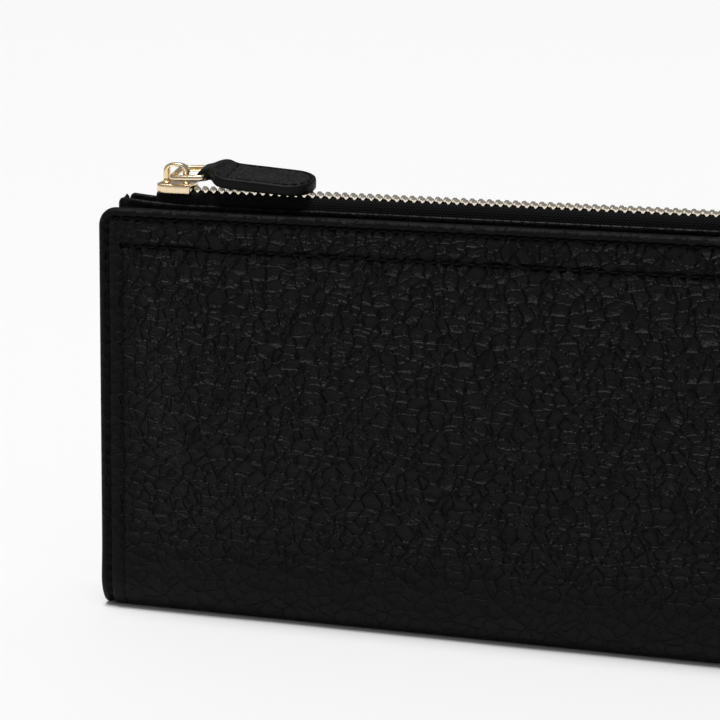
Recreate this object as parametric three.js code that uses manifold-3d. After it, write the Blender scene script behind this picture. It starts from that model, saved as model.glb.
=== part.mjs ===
// Long bifold wallet with a zipped coin pocket, standing on its bottom fold.
// Millimetres. +X runs along the wallet, -Y is the front cover, +Z is up.
// The origin is on the table, under the middle of the wallet.
import * as THREE from "three";
import { mergeVertices } from "three/addons/utils/BufferGeometryUtils.js";
import Module from "manifold-3d";

const wasm = await Module();
wasm.setup();

// Driving dimensions.
const LENGTH = 195; // covers, left to right
const HEIGHT = 100; // top edge of the covers
const LEATHER = 1.3; // outer leather
const GAP = 0.3; // clearance between pieces that touch
const CORNER = 4.5; // corner radius of the covers
const FRONT_LEAN = 1.89; // degrees that the front cover leans back
const FOOT = 11.4; // flat width of the spine on the table
const FOLD_HEIGHT = 9; // where the rounded fold meets the flat covers
const FOLD_INSET = 2.6; // fold lines, in from the covers' faces
const HINGE_Z = 2.8;
const FOAM = 0.6;
const FRONT_BOARD = 0.6;
const BACK_BOARD = 0.9;
const BOARD_FIT = 0.1; // back board to the zip strip
const MIDDLE_ROOM = 2.08; // between the two halves' inner faces at the fold
const FRONT_SHIFT = 0.18; // upright front face, proud of where it is once it leans
const STIFFENER = 0.5;
const COVER_INSET = 2; // boards, foams and lining, in from the covers' ends and top
const PANEL_BOTTOM = 6; // linings and pocket walls, above the table
const SLOT_BOTTOM = 8; // card slots and bill pocket
const BILL_TOP = 60;
const FLOOR = 0.6; // pocket floor
const GUSSET = 1;
const SECTION_INSET = 3.2; // zip section, in from the covers' ends
const POCKET_HALF = 3; // middle of the zip pocket to its linings' outer faces
const LINING = 0.5;
const STRIP = 0.9; // leather strips that the zip is sewn to
const STRIP_RISE = 0.8; // strips, above the covers
const STRIP_HEIGHT = 16.8;
const TAPE_TUCK = 8.2; // tape hidden behind the strips
const TAPE_RISE = 2; // strips to the bottom of the teeth
const TIER = 0.5; // card slot leather
const TIER_TOPS = [80, 66, 52];
const TOOTH_PITCH = 2.05;
const TOOTH_HEIGHT = 1.6;
const CHAIN_INSET = 16; // first tooth, in from the covers' left end
const CHAIN_END_INSET = 15.5; // room at the right end for the bottom stop
const SLIDER_LENGTH = 8.2;
const CROWN_RISE = 4.8; // bottom of the teeth to the middle of the crown's eye
const RING_LENGTH = 7.75; // bar to bar
const RING_HALF_WIDTH = 4; // middle to the centre of each arm
const WIRE = 1.4;
const PULLER_LENGTH = 26.9; // bar to the round end
const PULLER_WIDTH = 13;
const PULLER_THICK = 3;
const PULLER_TILT = 10; // degrees, front edge down
const RING_RISE = 2; // degrees
const PULLER_DROP = 3; // degrees

// Depths and places worked out from them.
const COVER_STACK = LEATHER + FOAM + FRONT_BOARD + LINING + TIER_TOPS.length * (TIER + GAP) + 3 * GAP;
const BACK_STACK = LEATHER + GAP + BACK_BOARD + BOARD_FIT + STRIP + GAP + POCKET_HALF;
const POCKET_STACK = TIER + GAP + STRIP + GAP + POCKET_HALF + BACK_STACK;
const DEPTH = COVER_STACK - FRONT_SHIFT + MIDDLE_ROOM + POCKET_STACK;
const POCKET_Y = DEPTH / 2 - BACK_STACK;
const HINGE_Y = DEPTH / 2 - FOLD_INSET;
const STRIP_TOP = HEIGHT + STRIP_RISE;
const STRIP_BOTTOM = STRIP_TOP - STRIP_HEIGHT;
const TOOTH_BOTTOM = STRIP_TOP + TAPE_RISE;
const CHAIN_START = CHAIN_INSET - LENGTH / 2;
const TOOTH_COUNT = Math.floor((LENGTH - CHAIN_INSET - CHAIN_END_INSET) / TOOTH_PITCH);
const CHAIN_END = CHAIN_START + TOOTH_PITCH * TOOTH_COUNT;
const SLIDER_LEFT = CHAIN_START - 3.1;
const CROWN_X = SLIDER_LEFT + 3.9;
const CROWN_HOLE_Z = TOOTH_BOTTOM + CROWN_RISE;

const rad = THREE.MathUtils.degToRad;
const wallet = new THREE.Group();

const BLACK_LEATHER = { color: 0x131214, roughness: 0.5, metalness: 0 };
const LINING_LEATHER = { color: 0x1a191b, roughness: 0.6, metalness: 0 };
const CLOTH = { color: 0x161618, roughness: 0.9, metalness: 0 };
const BOARD = { color: 0x8f8a80, roughness: 0.9, metalness: 0 };
const FOAM_LOOK = { color: 0x3a3a3c, roughness: 1, metalness: 0 };
const GOLD = { color: 0xd8bd7a, roughness: 0.25, metalness: 1 };

function addPiece(parent, name, geometry, look) {
  const mesh = new THREE.Mesh(geometry, new THREE.MeshStandardMaterial(look));
  mesh.name = name;
  parent.add(mesh);
  return mesh;
}

// Boolean work on closed geometries.
function toSolid(geometry) {
  const bare = geometry.clone();
  bare.deleteAttribute("normal");
  bare.deleteAttribute("uv");
  const merged = mergeVertices(bare, 1e-4);
  const mesh = new wasm.Mesh({
    numProp: 3,
    vertProperties: new Float32Array(merged.attributes.position.array),
    triVerts: new Uint32Array(merged.index.array),
  });
  return new wasm.Manifold(mesh);
}

function toGeometry(solid) {
  const mesh = solid.getMesh();
  const geometry = new THREE.BufferGeometry();
  geometry.setAttribute("position", new THREE.BufferAttribute(mesh.vertProperties, 3));
  geometry.setIndex(new THREE.BufferAttribute(mesh.triVerts, 1));
  return geometry;
}

// A rectangle whose corners have their own radii, from the lower left one round to the upper left.
function roundedRectangle(u0, v0, u1, v1, radii) {
  const [lowerLeft, lowerRight, upperRight, upperLeft] = radii;
  const shape = new THREE.Shape();
  shape.moveTo(u0 + lowerLeft, v0);
  shape.lineTo(u1 - lowerRight, v0);
  if (lowerRight) shape.absarc(u1 - lowerRight, v0 + lowerRight, lowerRight, -Math.PI / 2, 0);
  shape.lineTo(u1, v1 - upperRight);
  if (upperRight) shape.absarc(u1 - upperRight, v1 - upperRight, upperRight, 0, Math.PI / 2);
  shape.lineTo(u0 + upperLeft, v1);
  if (upperLeft) shape.absarc(u0 + upperLeft, v1 - upperLeft, upperLeft, Math.PI / 2, Math.PI);
  shape.lineTo(u0, v0 + lowerLeft);
  if (lowerLeft) shape.absarc(u0 + lowerLeft, v0 + lowerLeft, lowerLeft, Math.PI, 1.5 * Math.PI);
  return shape;
}

function extrude(shape, depth, curveSegments = 6) {
  return new THREE.ExtrudeGeometry(shape, { depth, bevelEnabled: false, curveSegments });
}

// An upright panel: an outline in X and Z, between y0 and y1.
function panel(x0, x1, z0, z1, y0, y1, topRadius = 0, bottomRadius = 0) {
  const radii = [bottomRadius, bottomRadius, topRadius, topRadius];
  const geometry = extrude(roundedRectangle(x0, z0, x1, z1, radii), y1 - y0);
  return geometry.rotateX(Math.PI / 2).translate(0, y1, 0);
}

// A section in Y and Z, run along X.
function alongX(points, x0, x1) {
  const geometry = extrude(new THREE.Shape(points), x1 - x0);
  const turn = new THREE.Matrix4().makeBasis(
    new THREE.Vector3(0, 1, 0),
    new THREE.Vector3(0, 0, 1),
    new THREE.Vector3(1, 0, 0),
  );
  return geometry.applyMatrix4(turn).translate(x0, 0, 0);
}

function block(x0, x1, y0, y1, z0, z1) {
  const geometry = new THREE.BoxGeometry(x1 - x0, y1 - y0, z1 - z0);
  return geometry.translate((x0 + x1) / 2, (y0 + y1) / 2, (z0 + z1) / 2);
}

// The outline of a strip of even thickness, from the line along its middle.
function ribbon(line, thickness) {
  const left = [];
  const right = [];
  for (let i = 0; i < line.length; i += 1) {
    const before = line[Math.max(i - 1, 0)];
    const after = line[Math.min(i + 1, line.length - 1)];
    const way = after.clone().sub(before).normalize();
    const side = new THREE.Vector2(-way.y, way.x).multiplyScalar(thickness / 2);
    left.push(line[i].clone().add(side));
    right.unshift(line[i].clone().sub(side));
  }
  return [...left, ...right];
}

function mirrored(points, middle) {
  return points.map((p) => new THREE.Vector2(2 * middle - p.x, p.y)).reverse();
}

// The outside of the fold, a quarter ellipse from the foot up to a cover's flat face at y = -face.
function foldPoint(face, angle) {
  const across = face - FOOT / 2;
  const y = -FOOT / 2 - across * Math.cos(angle);
  return new THREE.Vector2(y, FOLD_HEIGHT * (1 - Math.sin(angle)));
}

// Spine: the strip under the fold that the wallet stands on, with its stiffener and lining.
function buildSpine() {
  const group = new THREE.Group();
  const face = DEPTH / 2;
  const stiffenerHalf = FOOT / 2 - GAP;
  const half = [
    foldPoint(face, Math.PI / 2),
    foldPoint(face, rad(75)),
    foldPoint(face, rad(66)),
    new THREE.Vector2(-HINGE_Y + 0.1, 1.1),
    new THREE.Vector2(-FOOT / 2 - 0.6, LEATHER),
  ];
  const section = [...half, ...mirrored(half, 0)].reverse();
  addPiece(group, "spine_leather", alongX(section, -LENGTH / 2, LENGTH / 2), BLACK_LEATHER);
  const inner = LENGTH / 2 - COVER_INSET;
  const stiffenerBottom = LEATHER + GAP;
  const stiffenerTop = stiffenerBottom + STIFFENER;
  const stiffener = block(-inner, inner, -stiffenerHalf, stiffenerHalf, stiffenerBottom, stiffenerTop);
  addPiece(group, "spine_stiffener", stiffener, BOARD);
  const liningBottom = stiffenerTop + GAP;
  const lining = block(-inner, inner, -stiffenerHalf, stiffenerHalf, liningBottom, liningBottom + LINING);
  addPiece(group, "spine_lining", lining, LINING_LEATHER);
  return group;
}

// The leather of a cover: the flat face and the half of the fold under it, with rounded top corners.
function coverLeather(face) {
  const steps = 6;
  const line = [];
  for (let i = 0; i <= steps; i += 1) {
    const angle = THREE.MathUtils.lerp(rad(48), 0, i / steps);
    const outer = foldPoint(face, angle);
    const across = face - FOOT / 2;
    const normal = new THREE.Vector2(Math.cos(angle) / across, Math.sin(angle) / FOLD_HEIGHT).normalize();
    line.push(outer.add(normal.multiplyScalar(LEATHER / 2)));
  }
  line.push(new THREE.Vector2(-face + LEATHER / 2, HEIGHT));
  const bent = toSolid(alongX(ribbon(line, LEATHER).reverse(), -LENGTH / 2, LENGTH / 2));
  const outline = toSolid(panel(-LENGTH / 2, LENGTH / 2, -1, HEIGHT, -face - 5, 5, CORNER));
  return toGeometry(bent.intersect(outline));
}

// Front cover: leather, foam, board and lining, with three tiers of card slots each side.
function buildFrontCover() {
  const group = new THREE.Group();
  const face = DEPTH / 2 + FRONT_SHIFT;
  const bottom = FOLD_HEIGHT - 0.5;
  const top = HEIGHT - COVER_INSET;
  const half = LENGTH / 2 - COVER_INSET;
  let y = -face + LEATHER + GAP;
  addPiece(group, "front_cover_leather", coverLeather(face), BLACK_LEATHER);
  addPiece(group, "front_foam", panel(-half, half, bottom, top, y, y + FOAM, CORNER - 2), FOAM_LOOK);
  y += FOAM + GAP;
  addPiece(group, "front_board", panel(-half, half, bottom, top, y, y + FRONT_BOARD, CORNER - 2), BOARD);
  y += FRONT_BOARD + GAP;
  const lining = panel(-half, half, PANEL_BOTTOM, top, y, y + LINING, CORNER - 2);
  addPiece(group, "front_lining", lining, LINING_LEATHER);
  y += LINING + GAP;
  TIER_TOPS.forEach((tierTop, i) => {
    const columns = [["left", -half + 2, -1.5], ["right", 1.5, half - 2]];
    for (const [side, x0, x1] of columns) {
      const slot = panel(x0, x1, SLOT_BOTTOM, tierTop, y, y + TIER, 3);
      addPiece(group, `card_slot_${side}_${i + 1}`, slot, LINING_LEATHER);
    }
    y += TIER + GAP;
  });
  const hinge = new THREE.Group();
  group.position.set(0, HINGE_Y, -HINGE_Z);
  hinge.position.set(0, -HINGE_Y, HINGE_Z);
  hinge.rotation.x = -rad(FRONT_LEAN);
  hinge.add(group);
  return hinge;
}

// Back cover: leather, board and foam behind the zip pocket.
function buildBackCover() {
  const group = new THREE.Group();
  const face = DEPTH / 2;
  const half = LENGTH / 2 - COVER_INSET;
  const leather = coverLeather(face).rotateZ(Math.PI);
  addPiece(group, "back_cover_leather", leather, BLACK_LEATHER);
  let y = face - LEATHER - GAP;
  const board = panel(-half, half, FOLD_HEIGHT - 0.5, HEIGHT - COVER_INSET, y - BACK_BOARD, y, CORNER - 2);
  addPiece(group, "back_board", board, BOARD);
  y -= BACK_BOARD + GAP;
  const stripBack = POCKET_Y + POCKET_HALF + GAP;
  const foam = panel(-half, half, PANEL_BOTTOM, STRIP_BOTTOM - GAP, stripBack, y, 0);
  addPiece(group, "back_foam", foam, FOAM_LOOK);
  return group;
}

// Zip pocket: two walls, a floor and a gusset at each end, open at the top.
function buildPocket() {
  const group = new THREE.Group();
  const half = LENGTH / 2 - SECTION_INSET;
  const front = POCKET_Y - POCKET_HALF;
  const back = POCKET_Y + POCKET_HALF;
  const liningTop = STRIP_TOP - TAPE_TUCK - 0.5;
  const frontLining = panel(-half, half, PANEL_BOTTOM, liningTop, front, front + LINING);
  addPiece(group, "pocket_front_lining", frontLining, CLOTH);
  const backLining = panel(-half, half, PANEL_BOTTOM, liningTop, back - LINING, back);
  addPiece(group, "pocket_back_lining", backLining, CLOTH);
  const wallFace = front - GAP - STRIP;
  const wall = panel(-half, half, PANEL_BOTTOM, STRIP_BOTTOM - GAP, wallFace, front - GAP);
  addPiece(group, "pocket_front_wall", wall, LINING_LEATHER);
  const billHalf = half - 2;
  const billFace = wallFace - GAP - TIER;
  const billPocket = panel(-billHalf, billHalf, SLOT_BOTTOM, BILL_TOP, billFace, billFace + TIER, 3);
  addPiece(group, "bill_pocket", billPocket, LINING_LEATHER);
  const floorTop = PANEL_BOTTOM - GAP;
  const floor = block(-half, half, wallFace, back + STRIP, floorTop - FLOOR, floorTop);
  addPiece(group, "pocket_floor", floor, CLOTH);
  const gussetFront = front + LINING + GAP;
  const gussetBack = back - LINING - GAP;
  const gussetShape = [
    new THREE.Vector2(gussetFront, PANEL_BOTTOM),
    new THREE.Vector2(gussetBack, PANEL_BOTTOM),
    new THREE.Vector2(gussetBack, STRIP_TOP),
    new THREE.Vector2(POCKET_Y, STRIP_TOP + 2),
    new THREE.Vector2(gussetFront, STRIP_TOP),
  ];
  addPiece(group, "gusset_left", alongX(gussetShape, -half, -half + GUSSET), LINING_LEATHER);
  addPiece(group, "gusset_right", alongX(gussetShape, half - GUSSET, half), LINING_LEATHER);
  return group;
}

// The comb of teeth on one tape: a cord along the tape's edge with a tooth at every pitch.
function toothComb(offset) {
  const outer = 1.75;
  const root = 1.2;
  const tip = -0.45;
  const width = TOOTH_PITCH / 2 - GAP + 0.025;
  const shape = new THREE.Shape();
  shape.moveTo(CHAIN_START, -outer);
  shape.lineTo(CHAIN_END, -outer);
  shape.lineTo(CHAIN_END, -root);
  for (let i = TOOTH_COUNT - 1; i >= 0; i -= 1) {
    const x = CHAIN_START + offset + TOOTH_PITCH * i;
    shape.lineTo(x + width, -root);
    shape.lineTo(x + width, -tip);
    shape.lineTo(x, -tip);
    shape.lineTo(x, -root);
  }
  shape.lineTo(CHAIN_START, -root);
  return extrude(shape, TOOTH_HEIGHT).translate(0, 0, TOOTH_BOTTOM);
}

// One side of the zip: its leather strip, tape, teeth and top stop. side is -1 in front, 1 behind.
function buildZipSide(side, word) {
  const group = new THREE.Group();
  const half = LENGTH / 2 - SECTION_INSET;
  const tapeOut = POCKET_HALF - LINING / 2;
  const tapeEnd = CHAIN_END + 4.5;
  const tapeLine = [
    new THREE.Vector2(tapeOut, STRIP_TOP - TAPE_TUCK),
    new THREE.Vector2(tapeOut, STRIP_TOP - 0.2),
    new THREE.Vector2(tapeOut - 0.2, TOOTH_BOTTOM + 0.3),
    new THREE.Vector2(tapeOut - 0.65, TOOTH_BOTTOM + 0.85),
  ];
  const tapeShape = ribbon(tapeLine, LINING).reverse();
  const tape = alongX(tapeShape, SLIDER_LEFT - 0.5, tapeEnd);
  const stripInner = POCKET_HALF + GAP;
  const strip = panel(-half, half, STRIP_BOTTOM, STRIP_TOP, -stripInner - STRIP, -stripInner);
  const toothTop = TOOTH_BOTTOM + TOOTH_HEIGHT;
  const stop = block(SLIDER_LEFT + 0.8, SLIDER_LEFT + 2.6, -1.7, -0.85, TOOTH_BOTTOM, toothTop);
  const comb = toothComb(side < 0 ? 0 : TOOTH_PITCH / 2);
  if (side < 0) {
    tape.rotateZ(Math.PI).translate(tapeEnd + SLIDER_LEFT - 0.5, 0, 0);
  } else {
    strip.rotateZ(Math.PI);
    stop.translate(0, 2.55, 0);
    comb.translate(0, 0, -TOOTH_BOTTOM - TOOTH_HEIGHT / 2).rotateX(Math.PI);
    comb.translate(0, 0, TOOTH_BOTTOM + TOOTH_HEIGHT / 2);
  }
  addPiece(group, `zip_strip_${word}`, strip, BLACK_LEATHER);
  addPiece(group, `zip_tape_${word}`, tape, CLOTH);
  addPiece(group, `zip_teeth_${word}`, comb, GOLD);
  addPiece(group, `top_stop_${word}`, stop, GOLD);
  group.position.y = POCKET_Y;
  return group;
}

function buildBottomStop() {
  const start = CHAIN_END + GAP;
  const top = TOOTH_BOTTOM + TOOTH_HEIGHT + 0.3;
  const geometry = block(start, start + 2.8, -1.65, 1.65, TOOTH_BOTTOM - 0.2, top);
  return geometry.translate(0, POCKET_Y, 0);
}

// Slider: a plate above and a plate below the chain, joined by a post at its open end.
function buildSlider() {
  const group = new THREE.Group();
  const right = SLIDER_LEFT + SLIDER_LENGTH;
  const plateBottom = TOOTH_BOTTOM + TOOTH_HEIGHT + 0.35;
  const plateTop = plateBottom + 0.6;
  const lipOuter = 3.7;
  const lipInner = 3.2;
  const lowerTop = TOOTH_BOTTOM - 0.4;
  const top = toSolid(block(SLIDER_LEFT, right, -lipOuter, lipOuter, plateBottom, plateTop));
  const lips = [-1, 1].map((side) => {
    const lip = block(SLIDER_LEFT, right, lipInner, lipOuter, plateBottom - 1.75, plateBottom + 0.3);
    return toSolid(side < 0 ? lip.rotateZ(Math.PI).translate(SLIDER_LEFT + right, 0, 0) : lip);
  });
  const lower = toSolid(block(SLIDER_LEFT, right, -1.9, 1.9, lowerTop - 0.7, lowerTop));
  const postLeft = SLIDER_LEFT + 0.5;
  const postBlock = block(postLeft, postLeft + 1.9, -0.45, 0.45, lowerTop - 0.3, plateBottom + 0.3);
  const post = toSolid(postBlock);
  const body = lips.reduce((sum, lip) => sum.add(lip), top).add(lower).add(post);
  addPiece(group, "slider_body", toGeometry(body), GOLD);
  addPiece(group, "slider_crown", crown(plateTop + GAP), GOLD);
  group.position.y = POCKET_Y;
  return group;
}

// The arch on top of the slider that holds the puller's ring.
function crown(bottom) {
  const halfWidth = 3.35;
  const top = CROWN_HOLE_Z + 2.6;
  const thickness = 2;
  const shape = roundedRectangle(CROWN_X - halfWidth, bottom, CROWN_X + halfWidth, top, [0, 0, 2.4, 2.4]);
  const hole = roundedRectangle(
    CROWN_X - 1.65,
    CROWN_HOLE_Z - 1.5,
    CROWN_X + 1.65,
    CROWN_HOLE_Z + 1.5,
    [1, 1, 1, 1],
  );
  shape.holes.push(hole);
  return extrude(shape, thickness).rotateX(Math.PI / 2).translate(0, thickness / 2, 0);
}

// The ring through the crown, a flat rectangular wire loop.
function ring() {
  const half = RING_HALF_WIDTH;
  const w = WIRE / 2;
  const shape = roundedRectangle(-w, -half - w, RING_LENGTH + w, half + w, [0.5, 0.5, 0.5, 0.5]);
  shape.holes.push(roundedRectangle(w, -half + w, RING_LENGTH - w, half - w, [0, 0, 0, 0]));
  return extrude(shape, WIRE, 3).translate(0, 0, -w);
}

// The leather puller: a strap folded round the ring's bar, narrow there and rounded at its end.
function pullerLeather() {
  const neck = RING_HALF_WIDTH - WIRE / 2 - 0.35;
  const half = PULLER_WIDTH / 2;
  const boreRadius = WIRE * Math.SQRT1_2 + 0.2;
  const neckEnd = boreRadius + 0.5;
  const wideFrom = boreRadius + 0.8;
  const shape = new THREE.Shape();
  shape.moveTo(-neckEnd, -neck);
  shape.lineTo(wideFrom, -neck);
  shape.lineTo(wideFrom, -half + 1);
  shape.lineTo(wideFrom + 1, -half);
  shape.lineTo(PULLER_LENGTH - half, -half);
  shape.absarc(PULLER_LENGTH - half, 0, half, -Math.PI / 2, Math.PI / 2);
  shape.lineTo(wideFrom + 1, half);
  shape.lineTo(wideFrom, half - 1);
  shape.lineTo(wideFrom, neck);
  shape.lineTo(-neckEnd, neck);
  const strap = toSolid(extrude(shape, PULLER_THICK, 12).translate(0, 0, -PULLER_THICK / 2));
  const bore = toSolid(new THREE.CylinderGeometry(boreRadius, boreRadius, PULLER_WIDTH, 16));
  return toGeometry(strap.subtract(bore));
}

function buildPuller() {
  const tilt = rad(PULLER_TILT);
  const ringGroup = new THREE.Group();
  ringGroup.position.set(CROWN_X, POCKET_Y, CROWN_HOLE_Z);
  ringGroup.rotation.set(tilt, -rad(RING_RISE), 0, "YXZ");
  addPiece(ringGroup, "puller_ring", ring(), GOLD);
  const strapGroup = new THREE.Group();
  const along = RING_LENGTH * Math.cos(rad(RING_RISE));
  const up = RING_LENGTH * Math.sin(rad(RING_RISE));
  strapGroup.position.set(CROWN_X + along, POCKET_Y, CROWN_HOLE_Z + up);
  strapGroup.rotation.set(tilt, rad(PULLER_DROP), 0, "YXZ");
  addPiece(strapGroup, "puller_leather", pullerLeather(), BLACK_LEATHER);
  return [ringGroup, strapGroup];
}

wallet.add(buildSpine(), buildFrontCover(), buildBackCover(), buildPocket());
wallet.add(buildZipSide(-1, "front"), buildZipSide(1, "back"));
addPiece(wallet, "bottom_stop", buildBottomStop(), GOLD);
wallet.add(buildSlider(), ...buildPuller());

export default wallet;
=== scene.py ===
import math

import bpy
import numpy as np
from mathutils import Matrix, Vector


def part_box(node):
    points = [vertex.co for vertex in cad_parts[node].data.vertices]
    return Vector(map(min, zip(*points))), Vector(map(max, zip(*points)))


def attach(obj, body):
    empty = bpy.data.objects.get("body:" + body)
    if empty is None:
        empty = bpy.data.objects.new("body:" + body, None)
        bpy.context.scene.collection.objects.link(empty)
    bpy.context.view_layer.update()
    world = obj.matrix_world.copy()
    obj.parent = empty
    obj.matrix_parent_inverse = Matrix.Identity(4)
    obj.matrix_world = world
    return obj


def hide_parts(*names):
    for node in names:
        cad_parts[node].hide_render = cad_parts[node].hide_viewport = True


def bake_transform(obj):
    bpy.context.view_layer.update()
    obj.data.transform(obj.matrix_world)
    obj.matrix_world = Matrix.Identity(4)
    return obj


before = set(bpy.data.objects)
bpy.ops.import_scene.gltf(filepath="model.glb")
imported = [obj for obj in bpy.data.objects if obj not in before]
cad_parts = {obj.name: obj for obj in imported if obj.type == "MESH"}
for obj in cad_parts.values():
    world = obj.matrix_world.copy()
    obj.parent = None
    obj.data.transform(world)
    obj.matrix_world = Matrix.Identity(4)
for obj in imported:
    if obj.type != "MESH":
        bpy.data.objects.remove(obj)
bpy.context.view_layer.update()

bpy.ops.object.select_all(action="DESELECT")

MM = 0.001


# ---------------------------------------------------------------------------------------------
# Black pebbled leather of the covers. Full-grain cowhide, drum-milled so that the grain swells
# into pebbles; it is dyed through and lightly finished, so the crests shine more than the creases.
# Its colour is painted lighter on the crests (painted light) and darker in the creases (painted shade).
# ---------------------------------------------------------------------------------------------


class Value:
    """A number on a node's socket that can be added, multiplied and so on."""

    def __init__(self, finish, socket):
        self.finish = finish
        self.socket = socket

    def __add__(self, other):
        return self.finish.maths("ADD", self, other)

    def __radd__(self, other):
        return self.finish.maths("ADD", other, self)

    def __sub__(self, other):
        return self.finish.maths("SUBTRACT", self, other)

    def __rsub__(self, other):
        return self.finish.maths("SUBTRACT", other, self)

    def __mul__(self, other):
        return self.finish.maths("MULTIPLY", self, other)

    def __rmul__(self, other):
        return self.finish.maths("MULTIPLY", other, self)

    def __truediv__(self, other):
        return self.finish.maths("DIVIDE", self, other)

    def __pow__(self, other):
        return self.finish.maths("POWER", self, other)


class Finish:
    """A material under construction: its nodes, and the surface shader that they feed."""

    def __init__(self, name, **constants):
        self.material = bpy.data.materials.new(name)
        self.material.use_nodes = True
        self.tree = self.material.node_tree
        self.tree.nodes.clear()
        self.surface = self.tree.nodes.new("ShaderNodeBsdfPrincipled")
        end = self.tree.nodes.new("ShaderNodeOutputMaterial")
        self.tree.links.new(self.surface.outputs["BSDF"], end.inputs["Surface"])
        for socket, value in constants.items():
            self.surface.inputs[socket.replace("_", " ")].default_value = value

    def node(self, kind, settings, inputs, output=0):
        made = self.tree.nodes.new(kind)
        for name, value in settings.items():
            if name == "stops":
                ramp = made.color_ramp
                ramp.elements[0].position, ramp.elements[0].color = value[0]
                ramp.elements[1].position, ramp.elements[1].color = value[-1]
                for position, colour in value[1:-1]:
                    ramp.elements.new(position).color = colour
            else:
                setattr(made, name, value)
        for name, value in inputs.items():
            if isinstance(value, Value):
                self.tree.links.new(value.socket, made.inputs[name])
            else:
                made.inputs[name].default_value = value
        return Value(self, made.outputs[output])

    def maths(self, operation, a, b=0.0, c=0.0):
        return self.node("ShaderNodeMath", {"operation": operation}, {0: a, 1: b, 2: c})

    def smooth(self, value, low, high):
        settings = {"interpolation_type": "SMOOTHSTEP"}
        return self.node("ShaderNodeMapRange", settings, {"Value": value, "From Min": low, "From Max": high})

    def colours(self, factor, a, b):
        settings = {"data_type": "RGBA"}
        return self.node("ShaderNodeMix", settings, {"Factor": factor, 6: (*a, 1), 7: (*b, 1)}, 2)

    def place(self, scale, turn=0.0):
        """The piece's own flat coordinates, in millimetres, stretched by scale and turned."""
        flat = self.node("ShaderNodeUVMap", {"uv_map": "flat"}, {})
        inputs = {"Vector": flat, "Scale": (*scale, 1.0), "Rotation": (0, 0, turn)}
        return self.node("ShaderNodeMapping", {}, inputs)

    def attribute(self, name):
        return self.node("ShaderNodeAttribute", {"attribute_name": name}, {}, 2)

    def feed(self, **sockets):
        for name, value in sockets.items():
            self.tree.links.new(value.socket, self.surface.inputs[name.replace("_", " ")])

    def relief(self, height, distance, strength=1.0):
        inputs = {"Height": height, "Distance": distance, "Strength": strength}
        self.feed(Normal=self.node("ShaderNodeBump", {}, inputs))


def pebbled_leather(name, colour_low, colour_high, pebble=2.8, depth=2.3):
    """Milled grain: polygonal pebbles with creases, faded where the attribute grain is 0; the base colour is
    painted lighter on the crests as painted light and darker in the creases as painted shade.
    """
    finish = Finish(name, Specular_IOR_Level=0.13, IOR=1.45)
    flat = finish.place((1.0, 1.0))
    warp = {"operation": "MULTIPLY_ADD"}
    wander = finish.node("ShaderNodeTexNoise", {}, {"Vector": flat, "Scale": 0.14, "Detail": 2.0}, 1)
    swayed = finish.node("ShaderNodeVectorMath", warp, {0: wander, 1: (4.5, 4.5, 0.0), 2: flat})
    wrinkle = finish.node("ShaderNodeTexNoise", {}, {"Vector": flat, "Scale": 0.75, "Detail": 2.0}, 1)
    bent = finish.node("ShaderNodeVectorMath", warp, {0: wrinkle, 1: (0.8, 0.8, 0.0), 2: swayed})
    slant = {"Vector": bent, "Scale": (0.8, 1.0, 1.0), "Rotation": (0, 0, 0.5)}
    pebbles = finish.node("ShaderNodeMapping", {}, slant)

    def cells(feature, spot, per_pebble, loose):
        inputs = {"Vector": spot, "Scale": per_pebble / pebble, "Randomness": loose}
        return finish.node("ShaderNodeTexVoronoi", {"feature": feature}, inputs)

    coarse = cells("DISTANCE_TO_EDGE", pebbles, 1.0, 0.95)
    fine = cells("DISTANCE_TO_EDGE", bent, 2.1, 1.0)
    specks = {"Vector": flat, "Scale": 2.6, "Detail": 3.0, "Roughness": 0.6}
    pores = finish.node("ShaderNodeTexNoise", {}, specks)
    swell = finish.node("ShaderNodeTexNoise", {}, {"Vector": flat, "Scale": 0.11, "Detail": 2.0})
    grain = finish.attribute("grain")
    reach = cells("F1", pebbles, 1.0, 0.95)
    dome = 1.0 - reach * reach
    crown = finish.smooth(coarse, 0.0, 0.11)
    split = finish.smooth(fine, 0.0, 0.14)
    deep = finish.smooth(swell, 0.35, 0.62)
    pebble_height = crown * 0.34 + dome * 0.8 + split * deep * 0.1 + pores * 0.05
    height = pebble_height * grain + pores * 0.07
    finish.relief(height, depth * MM)
    # Painted light and shade: this mask paints the pebble crests lighter and the creases darker in the base
    # colour, with some random tone from swell; it also makes the crests less rough.
    crest_light_crease_shade = crown * (0.3 + dome * 0.7) * (0.75 + swell * 0.5)
    finish.feed(Base_Color=finish.colours(crest_light_crease_shade * grain + (1 - grain) * 0.4, colour_low, colour_high))
    finish.feed(Roughness=0.46 - crest_light_crease_shade * 0.16 * grain + pores * 0.06)
    return finish.material


cover_leather = pebbled_leather("cover_leather", (0.0001, 0.0001, 0.0001), (0.0030, 0.0029, 0.0031))


# ---------------------------------------------------------------------------------------------
# Front cover. One piece of leather runs from under the fold up the front, over foam and board, and
# is turned in round the edges and sewn 2.4 mm in. A second seam holds the pocket leather behind.
# ---------------------------------------------------------------------------------------------
cover_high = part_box("front_cover_leather")[1]
HALF_LENGTH = cover_high.x / MM
COVER_TOP = cover_high.z / MM
COVER_FACE = 10.18
FOOT_HALF = 5.7
FOLD_TOP = 9.0
LEAN = math.radians(1.89)
HINGE = (7.4, 2.8)
COVER_CORNER = 4.5
EDGE_SEAM = 2.4
INNER_SEAM_TOP = 9.0
INNER_SEAM_SIDE = 6.4
PANEL_SWELL = 0.55
PANEL_CROWN, CROWN_RUN = 1.5, 34
STITCH = 3.0


def even_steps(*stretches):
    """Places along a line, from stretches of (end, step); the first entry is the start."""
    places = [stretches[0]]
    for end, step in stretches[1:]:
        count = max(1, round((end - places[-1]) / step))
        start = places[-1]
        places += [start + (end - start) * (k + 1) / count for k in range(count)]
    return np.array(places)


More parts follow.
